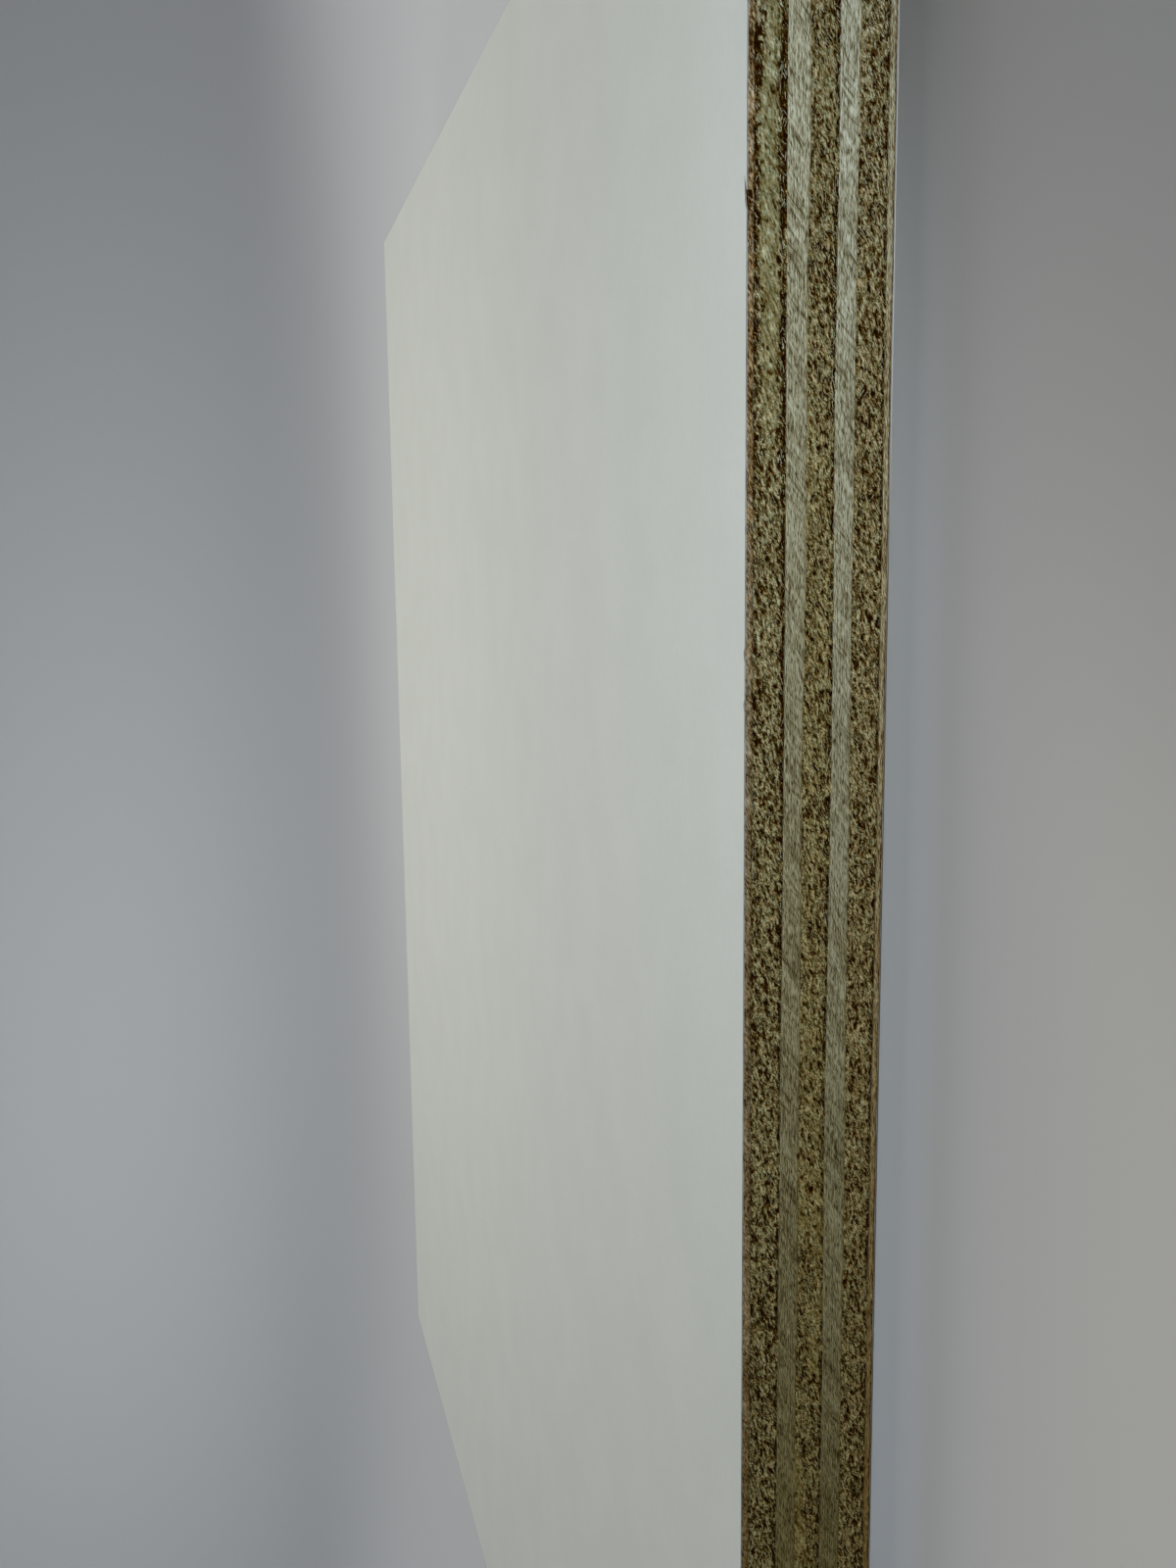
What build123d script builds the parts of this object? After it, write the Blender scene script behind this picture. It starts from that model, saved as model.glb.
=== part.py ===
"""A sawn piece of seven-ply plywood, pressed between two white films.

X runs along the grain of the two outer veneers, Y across it, and Z up through the layers.
The origin is in the middle of the bottom face. All lengths are in millimetres.
"""

from build123d import *
import os

# The sheet, as sawn
sheet_length = 378.0
sheet_width = 337.0

# Thickness of each layer. Long plies run along X, the crossbands and the core along Y.
film_thickness = 0.15
outer_veneer_thickness = 0.80
upper_crossband_thickness = 3.95
upper_long_ply_thickness = 2.55
core_thickness = 3.50
lower_long_ply_thickness = 2.50
lower_crossband_thickness = 3.60

# Where the saw tore the upper film along the front edge.
# Each place is given by its distance from the right end of the sheet.
split_start = 62.7
split_length = 4.0
split_depth = 0.70
split_tongue = 1.8
nick_starts = (114.9, 120.9)
nick_length = 1.9
nick_depth = 0.35

# The hollow that the split left in the veneer under it
hollow_length = 2.3
hollow_width = 0.60
hollow_depth = 0.60

front = -sheet_width / 2
right = sheet_length / 2


def split_outline():
    """A slit that starts inside the film, beside a tongue of it, and opens at the front edge."""
    tip = (right - split_start, front + split_depth)
    mouth = (right - split_start - split_tongue, front)
    end = (right - split_start - split_length, front)
    shoulder = ((mouth[0] + end[0]) / 2, front + split_depth * 0.7)
    return tip, mouth, end, shoulder


def nick_outline(start):
    """A shallow three-cornered nick, deepest nearer its right end."""
    return (
        (right - start, front),
        (right - start - nick_length * 0.4, front + nick_depth),
        (right - start - nick_length, front),
    )


def hollow_outline():
    """The torn hollow in the veneer, which ends where the split in the film ends."""
    left_end = right - split_start - split_length
    return (
        (left_end, front),
        (left_end + hollow_length, front),
        (left_end + hollow_length * 0.8, front + hollow_width),
        (left_end + hollow_length * 0.3, front + hollow_width),
    )


def lay(name, level, thickness, torn=(), torn_depth=0.0):
    """One layer of the sheet, with the torn outlines cut down from its upper face."""
    with BuildPart() as layer:
        with BuildSketch(Plane.XY.offset(level)):
            Rectangle(sheet_length, sheet_width)
        extrude(amount=thickness)
        for outline in torn:
            with BuildSketch(Plane.XY.offset(level + thickness)):
                with BuildLine():
                    Polyline(*outline, close=True)
                make_face()
            extrude(amount=-torn_depth, mode=Mode.SUBTRACT)
    layer.part.label = name
    export_step(layer.part, f"parts/{name}.step")
    return level + thickness


os.makedirs("parts", exist_ok=True)

# The layers, from the bottom up: each one starts at the level where the last one ends
level = lay("back_film", 0.0, film_thickness)
level = lay("back_veneer", level, outer_veneer_thickness)
level = lay("lower_crossband", level, lower_crossband_thickness)
level = lay("lower_long_ply", level, lower_long_ply_thickness)
level = lay("core_ply", level, core_thickness)
level = lay("upper_long_ply", level, upper_long_ply_thickness)
level = lay("upper_crossband", level, upper_crossband_thickness)
level = lay("face_veneer", level, outer_veneer_thickness, [hollow_outline()], hollow_depth)
film_tears = [split_outline()] + [nick_outline(start) for start in nick_starts]
level = lay("face_film", level, film_thickness, film_tears, film_thickness)

print(f"sheet {sheet_length} x {sheet_width} x {level:.2f} mm")
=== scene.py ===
"""The looks of a sawn piece of plywood with white faces, lying on a pale floor in soft light.

Nine layers stand for the nine layers of the model. Each is a closed skin whose rim is a fine grid that goes
once round the sheet, pushed inwards where the saw tore the wood. Everything is in metres unless a comment
says otherwise.
"""

import math

import bpy
import numpy as np
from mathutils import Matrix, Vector
from mathutils.geometry import tessellate_polygon


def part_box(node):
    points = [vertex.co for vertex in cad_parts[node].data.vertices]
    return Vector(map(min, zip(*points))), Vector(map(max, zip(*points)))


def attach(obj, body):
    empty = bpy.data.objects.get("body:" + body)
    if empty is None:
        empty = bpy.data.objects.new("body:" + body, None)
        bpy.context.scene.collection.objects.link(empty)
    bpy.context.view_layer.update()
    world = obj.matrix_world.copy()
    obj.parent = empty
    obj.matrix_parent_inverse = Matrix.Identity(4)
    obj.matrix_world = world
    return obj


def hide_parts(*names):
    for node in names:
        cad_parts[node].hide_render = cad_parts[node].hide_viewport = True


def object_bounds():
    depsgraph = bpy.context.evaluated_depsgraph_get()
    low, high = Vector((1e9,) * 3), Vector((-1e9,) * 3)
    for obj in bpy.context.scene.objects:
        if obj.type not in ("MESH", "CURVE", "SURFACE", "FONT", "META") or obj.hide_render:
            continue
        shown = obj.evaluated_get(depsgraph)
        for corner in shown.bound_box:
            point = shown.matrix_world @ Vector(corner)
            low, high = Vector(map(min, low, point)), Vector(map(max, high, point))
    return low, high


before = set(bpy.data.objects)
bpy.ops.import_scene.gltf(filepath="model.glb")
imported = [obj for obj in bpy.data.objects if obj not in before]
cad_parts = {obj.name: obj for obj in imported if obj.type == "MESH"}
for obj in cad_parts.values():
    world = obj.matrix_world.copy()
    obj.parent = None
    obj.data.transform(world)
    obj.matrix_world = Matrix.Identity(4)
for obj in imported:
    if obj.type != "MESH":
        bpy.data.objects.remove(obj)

join = np.concatenate
scene = bpy.context.scene

MM = 0.001
SEED = 41

# The layers from the bottom up
LAYERS = ("back_film", "back_veneer", "lower_crossband", "lower_long_ply", "core_ply",
          "upper_long_ply", "upper_crossband", "face_veneer", "face_film")
CROSSWISE = ("lower_crossband", "core_ply", "upper_crossband")
FILMS = ("back_film", "face_film")

cad_low, cad_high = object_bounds()
half_length, half_width = cad_high.x, cad_high.y
levels = [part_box(LAYERS[0])[0].z] + [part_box(name)[1].z for name in LAYERS]
lower_film_top = levels[1]
upper_film_bottom = levels[-2]
sheet_top = levels[-1]

# Sides of the sheet, in order round it: where each starts, the way along it, the way in, and its length
SIDES = (
    ("front", (-half_length, -half_width), (1, 0), (0, 1), 2 * half_length),
    ("right", (half_length, -half_width), (0, 1), (-1, 0), 2 * half_width),
    ("back", (half_length, half_width), (-1, 0), (0, -1), 2 * half_length),
    ("left", (-half_length, half_width), (0, -1), (1, 0), 2 * half_width),
)
around = sum(side[4] for side in SIDES)

# Angles up from the way along the edge: the saw's marks, and the fibre ends that it laid over
SAW_TILT = math.radians(36)
FIBRE_TILT = math.radians(17)

# Millimetres between the rim's columns on each side, where fibre ends show and where they don't
END_STEP = {"front": 0.20, "right": 0.60, "back": 0.85, "left": 0.60}
LONG_STEP = {"front": 0.28, "right": 1.2, "back": 0.8, "left": 1.2}
# The distance between its rows, in the plies that lie across the sheet and in the other layers
CROSSWISE_ROW = 0.138 * MM
OTHER_ROW = 0.17 * MM
# Over this length beside each corner of the sheet the relief fades to a share of its depth
CORNER = 1.2 * MM
CORNER_SHARE = 0.15

# Each layer's lids: how many cells along and across, and how far in from the rim they end
LID_CELLS = (24, 22)
LID_INSET = 3 * MM
# How far up they lie in the edge map, and what the rim stays below
LID_SHIFT = 3.0
RIM_TOP = 1.0
# The height of the bands beside a layer's seams that the looks tint; along the upper seam the sawn wood is
# lightened there as a painted highlight
SEAM_BAND = 0.2 * MM

# How far the seams between layers wander up and down, in millimetres, from the bottom to the top
SEAM_DRIFT = (0.0, 0.012, 0.05, 0.085, 0.085, 0.085, 0.085, 0.05, 0.008, 0.0)
# The one under the upper veneer drops this much on the left part of the front edge
FACE_VENEER_SEAM = 7
FACE_VENEER_DROP = 0.17
SEAM_SEED = SEED + 100

# How calm each torn layer is: 0 is torn all over and 1 is smooth
CALM = {"upper_crossband": 0.10, "core_ply": 0.22, "lower_crossband": 0.12}
OTHER_CALM = 0.20

# Relief in millimetres: the torn fibre ends all over, their shreds, pits and grooves, and a film's crumbs
TORN_BASE = 0.06
SHRED_DEPTH = 0.03
PIT_DEPTH = 0.30
GROOVE_DEPTH = 0.34
CRUMB_DEPTH = 0.08

# Changes along the front edge, from its left end: where each one starts and where it is complete
VENEER_THICKENS = (280 * MM, 200 * MM)
CORE_CALMS = (230 * MM, 170 * MM)
GROOVES_WIDEN = (140 * MM, 240 * MM)
CROSSBAND_FRAYS = (270 * MM, 300 * MM)
# The same from its right end
VENEER_DARKENS = (125 * MM, 80 * MM)
FILM_HIGHLIGHT_STRETCH = (112 * MM, 80 * MM)

# The long streak that the saw left smooth in the upper crossband, from the front edge's left end
STREAK_START = 275 * MM
STREAK_GROWTH = 25 * MM
# The short one in the core: its middle along and up, its slope, and its reach along and up
CORE_STREAK_MIDDLE = (174 * MM, 1.75 * MM)
CORE_STREAK_SLOPE = 0.33
CORE_STREAK_REACH = (4.5 * MM, 0.60 * MM)

# Loose fibres on the front edge: how many in each layer
LOOSE_FIBRES = {"upper_crossband": 2800, "core_ply": 4200, "lower_crossband": 4200, "face_veneer": 1200,
                "back_veneer": 300}
FIBRE_SEED = SEED + 50
# The triangles of a fibre's six points: its two ends, and two on each of its three sides
FIBRE_FACES = ((0, 2, 1), (3, 4, 5), (0, 1, 4), (0, 4, 3), (1, 2, 5), (1, 5, 4), (2, 0, 3), (2, 3, 5))
# A splinter that hangs over the upper crossband under the split, with its middle along and up
SPLINTER_MIDDLE = (312.55 * MM, 16.75 * MM)
SPLINTER_LENGTH = 1.95 * MM
SPLINTER_TILT = math.radians(15)
SPLINTER_TONE = -1.6

# The front edge keeps a painted sheen, paler and cooler, for a length from its right end, and browns over the
# next
SHEEN_LENGTH = 60 * MM
SHEEN_FADE_LENGTH = 225 * MM
BROWN_SEED = SEED + 7

# Damage at the front edge, as on the model: places from its left end and how deep, in millimetres
SPLIT_OUTLINE = ((311.3, 0.0), (312.4, 0.49), (315.3, 0.70), (313.5, 0.0))
SPLIT_STEPS = 31
NICKS = (((261.2, 0.0), (262.34, 0.35), (263.1, 0.0)), ((255.2, 0.0), (256.34, 0.35), (257.1, 0.0)))
VENEER_HOLLOW = ((311.3, 0.0), (311.99, 0.60), (313.14, 0.60), (313.6, 0.0))
VENEER_HOLLOW_HEIGHT = 0.60
# The rim has finer steps along these stretches, also in millimetres
FINE_STRETCHES = ((254.8, 257.5), (260.8, 263.5), (310.9, 315.9))
FINE_STEP = 0.07


def smooth_step(low, high, value):
    """0 below low, 1 above high, and the S-curve 3t^2 - 2t^3 between them."""
    share = np.clip((value - low) / (high - low), 0, 1)
    return share * share * (3 - 2 * share)


def noise(rng, shape, step, reach, tilt=0.0):
    """White noise smoothed by an oval bell curve, which has a reach, long by wide, and is turned by a tilt.

    The smoothing multiplies the noise's spectrum by the bell's own: exp(-2 pi^2 ((fa a)^2 + (fb b)^2)). The
    field is made larger than its shape, because it repeats at its borders, and its spread is 1.
    """
    spare = [int(6 * max(reach) / s) + 8 for s in step]
    size = [shape[0] + spare[0], shape[1] + spare[1]]
    along = np.fft.fftfreq(size[0], step[0])[:, None]
    up = np.fft.rfftfreq(size[1], step[1])[None, :]
    with_grain = along * math.cos(tilt) + up * math.sin(tilt)
    across = up * math.cos(tilt) - along * math.sin(tilt)
    smoothing = np.exp(-2 * math.pi ** 2 * ((with_grain * reach[0]) ** 2 + (across * reach[1]) ** 2))
    field = np.fft.irfft2(np.fft.rfft2(rng.standard_normal(size)) * smoothing, s=size)
    field = (field - field.mean()) / field.std()
    return field[:shape[0], :shape[1]]


def wander(distance, seed):
    """A closed wavy line round the sheet: sines with whole numbers of waves, lower as they get shorter."""
    rng = np.random.default_rng(seed)
    waves = np.array([5, 9, 17, 31, 52, 88, 150, 260])
    height = rng.normal(size=len(waves)) / np.sqrt(waves)
    phase = rng.uniform(0, 2 * math.pi, len(waves))
    line = np.sin(2 * math.pi * np.outer(distance, waves) / around + phase) @ height
    return line / np.sqrt((height ** 2).sum() / 2)


def bell(value, middle, width):
    """1 where the value is in the middle, and less to either side: exp(-((value - middle) / width)^2)."""
    return np.exp(-((value - middle) / width) ** 2)


def seam_level(seam, distance):
    """The height of a seam between two layers, at a distance round the sheet."""
    height = levels[seam] + SEAM_DRIFT[seam] * MM * wander(distance, SEAM_SEED + seam)
    if seam != FACE_VENEER_SEAM:
        return height
    lower = FACE_VENEER_DROP * MM * smooth_step(*VENEER_THICKENS, distance)
    return height - lower * smooth_step(0, 60 * MM, distance)


def torn_ends(rng, shape, step, along, height, side, name):
    """How deep the saw tore the fibre ends: small pits at the fibres' tilt, and grooves at the seams.

    The pits are an oval noise, cut off where it is low, so that clumps of fibres stand at one level between
    them. Returned with the depth are the hollow, which is the depth as a share and which the looks darken as
    painted shade, and how calm the wood is: 1 where the saw left it smooth. On the front edge the core is
    calmer on its left part.
    """
    along, height = along[:, None], height[None, :]
    finest = 0.55 * max(step)
    clump_reach = (max(0.24 * MM, finest), max(0.11 * MM, 0.6 * finest))
    shred_reach = (max(0.15 * MM, finest), max(0.06 * MM, 0.6 * finest))
    clumps = noise(rng, shape, step, clump_reach, FIBRE_TILT)
    shreds = noise(rng, shape, step, shred_reach, FIBRE_TILT * 1.3)
    patches = noise(rng, shape, step, (3.2 * MM, 0.7 * MM), 0.15)
    calm = CALM.get(name, OTHER_CALM) * (1 + 0.7 * patches)
    if name == "core_ply" and side == "front":
        calm = calm + smooth_step(*CORE_CALMS, along) * (0.40 + 0.32 * patches)
    calm = np.clip(calm_streak(along, height, side, name) + calm, 0, 1)
    rough = clumps + 0.6 * shreds - 1.6 * calm
    pits = smooth_step(0.1, 1.9, rough)
    groove = seam_grooves(rng, along, height, step[0], side, name)
    depth = (TORN_BASE + SHRED_DEPTH * shreds * (1 - calm) + PIT_DEPTH * pits + GROOVE_DEPTH * groove) * MM
    # The looks darken the wood by the hollow: painted shade in the pits and grooves
    hollow = np.clip(smooth_step(-0.6, 2.0, rough) + 0.8 * groove, 0, 1.2)
    return np.clip(depth, 0.01 * MM, None), hollow, calm * (1 - np.clip(groove, 0, 1))


def seam_grooves(rng, along, height, step, side, name):
    """The grooves that the saw tore along a ply's seams: 0 outside them and 1 in the middle of a deep one.

    Each is a bell curve up the ply, times a noise along it that makes it wider too. Every torn ply has one at
    its lower seam. On the front edge it grows wider to the right in the core and the upper crossband, which
    also has one at its upper seam, and a much wider one at its lower seam near the right end.
    """
    run = noise(rng, (len(along), 1), (step, 1.0), (0.55 * MM, 0.0))
    groove = bell(height, 0.14 * MM, (0.15 + 0.06 * run) * MM) * smooth_step(-1.2, 0.9, run)
    if side != "front" or name == "lower_crossband":
        return groove
    wider = bell(height, 0.19 * MM, (0.21 + 0.06 * run) * MM) * smooth_step(-1.7, 0.3, run)
    groove = np.maximum(groove, wider * smooth_step(*GROOVES_WIDEN, along))
    if name != "upper_crossband":
        return groove
    frayed = smooth_step(*CROSSBAND_FRAYS, along)
    upper_run = noise(rng, (len(along), 1), (step, 1.0), (0.8 * MM, 0.0))
    upper = bell(height, height[0, -1] - 0.10 * MM, (0.30 + 0.10 * upper_run) * MM)
    groove = groove + upper * (0.25 + 0.75 * frayed) * smooth_step(-1.0, 1.0, upper_run)
    lower = bell(height, 0.42 * MM, (0.42 + 0.16 * run) * MM)
    return np.maximum(groove, lower * frayed * (0.55 + 0.35 * upper_run))


def calm_streak(along, height, side, name):
    """1 inside the streaks that the saw left smooth on the front edge, 0 elsewhere.

    The upper crossband has a long wavy one near the right end, and the core a short slanting one left of the
    middle.
    """
    if name == "core_ply" and side == "front":
        past = along - CORE_STREAK_MIDDLE[0]
        aside = height - CORE_STREAK_MIDDLE[1] - CORE_STREAK_SLOPE * past
        return 0.95 * bell(aside, 0, CORE_STREAK_REACH[1]) * np.exp(-(past / CORE_STREAK_REACH[0]) ** 4)
    if name == "upper_crossband" and side == "front":
        middle = (2.05 + 0.22 * np.sin(along / (6.1 * MM)) + 0.12 * np.sin(along / (2.3 * MM))) * MM
        reach = (1.0 + 0.25 * np.sin(along / (9.7 * MM) + 1.0)) * MM
        inside = 1 - smooth_step(0.6, 1.25, np.abs(height - middle) / reach)
        return 0.9 * inside * smooth_step(STREAK_START, STREAK_START + STREAK_GROWTH, along)
    return 0.0


def sawn_length(rng, shape, step):
    """Wood sawn along its fibres: low ridges along the edge, and slanting steps where the saw's teeth passed.

    Depth is an oval noise, 1.2 mm long and 0.1 mm high, plus low bands and a few narrow grooves at the saw's
    tilt.
    """
    fibres = noise(rng, shape, step, (1.2 * MM, 0.10 * MM), 0.02)
    bands = noise(rng, shape, step, (6 * MM, 0.45 * MM), SAW_TILT)
    cuts = smooth_step(1.6, 2.6, noise(rng, shape, step, (5 * MM, 0.12 * MM), SAW_TILT))
    patches = noise(rng, shape, step, (9 * MM, 1.2 * MM))
    depth = (0.09 + 0.012 * fibres + 0.030 * bands + 0.06 * cuts) * MM
    # The hollow darkens the looks in the deeper bands and cuts: painted shade
    hollow = np.clip(0.5 + 0.25 * bands + 0.3 * cuts, 0, 1)
    return np.clip(depth, 0, None), hollow, np.clip(0.5 + 0.25 * patches, 0, 1)


def worn_film(rng, shape, step):
    """The cut edge of a film: nearly flush, with small crumbs broken out of it."""
    crumbs = noise(rng, shape, step, (0.3 * MM, 0.3 * MM))
    chipped = smooth_step(1.7, 2.6, crumbs) * CRUMB_DEPTH * MM
    hollow = np.clip(chipped / (CRUMB_DEPTH * MM), 0, 1)
    stain = np.clip(0.5 + 0.3 * noise(rng, shape, step, (5 * MM, 1 * MM)), 0, 1)
    return 0.01 * MM + chipped, hollow, stain


def rim_of(name):
    """The rim of a layer, as columns that stand side by side round the sheet, each with the same rows.

    Returned are the rows' shares of the height; each column's place, way in and distance round the sheet;
    each point's height, depth, hollow and calm; and each column's brownness and whether fibre ends show
    there.
    """
    index = LAYERS.index(name)
    thickness = levels[index + 1] - levels[index]
    row_count = max(3, round(thickness / (CROSSWISE_ROW if name in CROSSWISE else OTHER_ROW)))
    rows = np.linspace(0, 1, row_count + 1)
    rng = np.random.default_rng(SEED + index)
    parts = []
    start = 0.0
    for side, corner, way, inward, length in SIDES:
        ends_show = (side in ("front", "back")) == (name in CROSSWISE)
        count = round(length / ((END_STEP if ends_show else LONG_STEP)[side] * MM))
        along = np.arange(count) * length / count
        step = (length / count, thickness / row_count)
        shape = (count, row_count + 1)
        if name in FILMS:
            depth, hollow, calm = worn_film(rng, shape, step)
        elif ends_show:
            depth, hollow, calm = torn_ends(rng, shape, step, along, rows * thickness, side, name)
        else:
            depth, hollow, calm = sawn_length(rng, shape, step)
        to_corner = np.minimum(along, length - along)
        depth = depth * (CORNER_SHARE + (1 - CORNER_SHARE) * smooth_step(0, CORNER, to_corner))[:, None]
        if side == "front" and name in ("face_film", "face_veneer"):
            along, (depth, hollow, calm) = with_finer_steps(along, (depth, hollow, calm))
        if side == "front" and name == "face_veneer":
            depth, hollow = hollow_the_veneer(along, rows * thickness, depth, hollow)
        if side == "front" and name == "face_film":
            depth = nick_the_film(along, depth)
            along, depth, hollow, calm = split_the_film(along, depth, hollow, calm)
        place = np.array(corner) + along[:, None] * np.array(way)
        # The first column is the sheet's corner, and its way in is slanted
        into = np.tile(np.array(inward, float), (len(along), 1))
        into[0] += way
        distance = start + along
        brownness = brownness_along(side, along, distance)
        ends = np.full(len(along), float(ends_show))
        parts.append((place, into, distance, depth, hollow, calm, brownness, ends))
        start += length
    place, into, distance, depth, hollow, calm, brownness, ends = [join(column) for column in zip(*parts)]
    low = seam_level(index, distance)
    high = seam_level(index + 1, distance)
    z = low[:, None] + rows[None, :] * (high - low)[:, None]
    return rows, place, into, distance, z, depth, hollow, calm, brownness, ends


def with_finer_steps(even, values):
    """The places along the edge with a fine step where the saw did damage, and the values read off there."""
    fine = [np.arange(low, high, FINE_STEP) * MM for low, high in FINE_STRETCHES]
    along = np.unique(join([even, *fine]))
    return along, [np.stack([np.interp(along, even, row) for row in field.T], -1) for field in values]


def nick_the_film(along, depth):
    """Cuts the nicks into the rim of the film: each one is as deep as its three-cornered outline."""
    for nick in NICKS:
        place, deep = np.array(nick).T * MM
        depth = np.maximum(depth, np.interp(along, place, deep)[:, None])
    return depth


def hollow_the_veneer(along, height, depth, hollow):
    """Tears the hollow under the split out of the veneer's upper part, and marks it as dark: painted shade in
    the hollow.
    """
    place, deep = np.array(VENEER_HOLLOW).T * MM
    torn = np.interp(along, place, deep)[:, None] * (height > height[-1] - VENEER_HOLLOW_HEIGHT * MM)
    return np.maximum(depth, torn), np.where(torn > 0.02 * MM, 1.9, hollow)


def split_the_film(along, depth, hollow, calm):
    """Leads the rim of the film round the split, a little raggedly: to its tip, and back by the tongue."""
    path = np.array(SPLIT_OUTLINE) * MM
    corners = np.arange(len(path))
    share = np.linspace(0, len(path) - 1, SPLIT_STEPS)
    ragged = 0.03 * MM * np.sin(2.4 * np.arange(SPLIT_STEPS)) * (share % 1 > 0)
    path_along = np.interp(share, corners, path[:, 0])
    path_depth = np.interp(share, corners, path[:, 1]) + ragged
    before = along < path[0, 0]
    after = along > path[-1, 0]
    joined = [join([along[before], path_along, along[after]])]
    for field, inside in ((depth, path_depth), (hollow, np.ones(SPLIT_STEPS)), (calm, np.zeros(SPLIT_STEPS))):
        inside = np.repeat(inside[:, None], depth.shape[1], 1)
        joined.append(join([field[before], inside, field[after]]))
    return joined


def brownness_along(side, along, distance):
    """How brown the sawn edge is: at the front more to the left, as its right end is kept paler for a painted
    sheen, and in waves elsewhere.
    """
    if side == "front":
        from_right = (2 * half_length - along - SHEEN_LENGTH) / SHEEN_FADE_LENGTH
        return np.clip(from_right, 0, 1) ** 0.65
    return np.clip(0.45 + 0.2 * wander(distance, BROWN_SEED), 0, 1)


def loose_fibres(name, distance, rows, z, depth, calm):
    """Fibres that the saw tore loose along the front edge, each a thin three-cornered bar.

    They stand at random places, fewer of them where the wood is calm. Each one's root is sunk into the wood,
    and its tip stands a little behind the plane of the edge. Neighbours lie alike: the tilt is a sum of slow
    sines along the edge and up the ply, plus a little chance. Returned are the points, the triangles, and the
    place along the edge and the tone of each point.
    """
    rng = np.random.default_rng(FIBRE_SEED + LAYERS.index(name))
    count = LOOSE_FIBRES.get(name, 0)
    along = rng.uniform(2 * MM, 2 * half_length - 2 * MM, 3 * count)
    share = rng.uniform(0.03, 0.97, 3 * count)
    column = np.clip(np.searchsorted(distance, along), 0, len(distance) - 1)
    row = np.round(share * (len(rows) - 1)).astype(int)
    kept = np.flatnonzero(rng.random(3 * count) > 1.3 * calm[column, row])[:count]
    count, along, share, column, row = len(kept), along[kept], share[kept], column[kept], row[kept]
    low, high = z[column, 0], z[column, -1]
    middle = np.stack([along, low + share * (high - low)], -1)
    swirl = np.zeros(count)
    for wave, turn in zip(rng.uniform(2.0, 6.0, 5) * MM, rng.uniform(0, 2 * math.pi, 5)):
        reached = middle[:, 0] * math.cos(turn) + middle[:, 1] * math.sin(turn)
        swirl += np.sin(2 * math.pi * reached / wave + turn)
    tilt = FIBRE_TILT + 0.20 * swirl + rng.normal(0, 0.22, count)
    length = 0.85 * MM * np.exp(rng.normal(0, 0.40, count))
    tone = rng.uniform(-1.1, 0.15, count)
    if name == "upper_crossband":
        middle[0] = SPLINTER_MIDDLE
        length[0] = SPLINTER_LENGTH
        tilt[0] = SPLINTER_TILT
        tone[0] = SPLINTER_TONE
    way = np.stack([np.cos(tilt), np.sin(tilt)], -1) * rng.choice((-1, 1), count)[:, None]
    thick = 0.045 * MM * np.exp(rng.normal(0, 0.30, count))
    root_depth = depth[column, row] + 0.04 * MM
    tip_depth = np.clip(rng.normal(0.05, 0.04, count), 0.012, None) * MM
    points = fibre_points(middle, way, length, thick, root_depth, tip_depth)
    points[..., 2] = np.clip(points[..., 2], (low + 0.01 * MM)[:, None], (high - 0.01 * MM)[:, None])
    faces = np.array(FIBRE_FACES)
    corner = points[:, faces]
    normal = np.cross(corner[:, :, 1] - corner[:, :, 0], corner[:, :, 2] - corner[:, :, 0])
    inside_out = ((corner.mean(2) - points.mean(1)[:, None]) * normal).sum((1, 2)) < 0
    wound = np.where(inside_out[:, None, None], faces[None], faces[None, :, ::-1])
    numbers = (wound + 6 * np.arange(count)[:, None, None]).reshape(-1, 3)
    edge_along = points[..., 0].copy()
    points[..., :2] -= (half_length, half_width)
    return points.reshape(-1, 3), numbers, edge_along.ravel(), np.repeat(tone, 6)


def fibre_points(middle, way, length, thick, root_depth, tip_depth):
    """The six points of each fibre, three round its root, which is thinner, and three round its tip.

    A point is its place along the edge, its depth behind the edge, and its height.
    """
    beside = np.stack([-way[:, 1], way[:, 0]], -1)
    points = np.empty((len(middle), 6, 3))
    for end, (reach, slim, deep) in enumerate(((-0.5, 0.55, root_depth), (0.5, 0.85, tip_depth))):
        centre = middle + way * (reach * length)[:, None]
        for part, (aside, back) in enumerate(((1, 0.9), (-1, 0.9), (0, -0.5))):
            spot = centre + beside * (aside * slim * thick)[:, None]
            points[:, 3 * end + part, 0] = spot[:, 0]
            points[:, 3 * end + part, 1] = np.clip(deep + back * thick, 0.006 * MM, None)
            points[:, 3 * end + part, 2] = spot[:, 1]
    return points


def inner_grid(z):
    """A lid: a flat grid of points inside the rim, the numbers of the outer ones in order, and its faces."""
    across, deep = LID_CELLS
    x = np.linspace(-half_length + LID_INSET, half_length - LID_INSET, across + 1)
    y = np.linspace(-half_width + LID_INSET, half_width - LID_INSET, deep + 1)
    points = np.stack([*np.meshgrid(x, y, indexing="ij"), np.full((across + 1, deep + 1), z)], -1)
    number = np.arange((across + 1) * (deep + 1)).reshape(across + 1, deep + 1)
    loop = join([number[:-1, 0], number[-1, :-1], number[:0:-1, -1], number[0, :0:-1]])
    quads = np.stack([number[:-1, :-1], number[1:, :-1], number[1:, 1:], number[:-1, 1:]], -1)
    return points.reshape(-1, 3), loop, quads.reshape(-1, 4)


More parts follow.
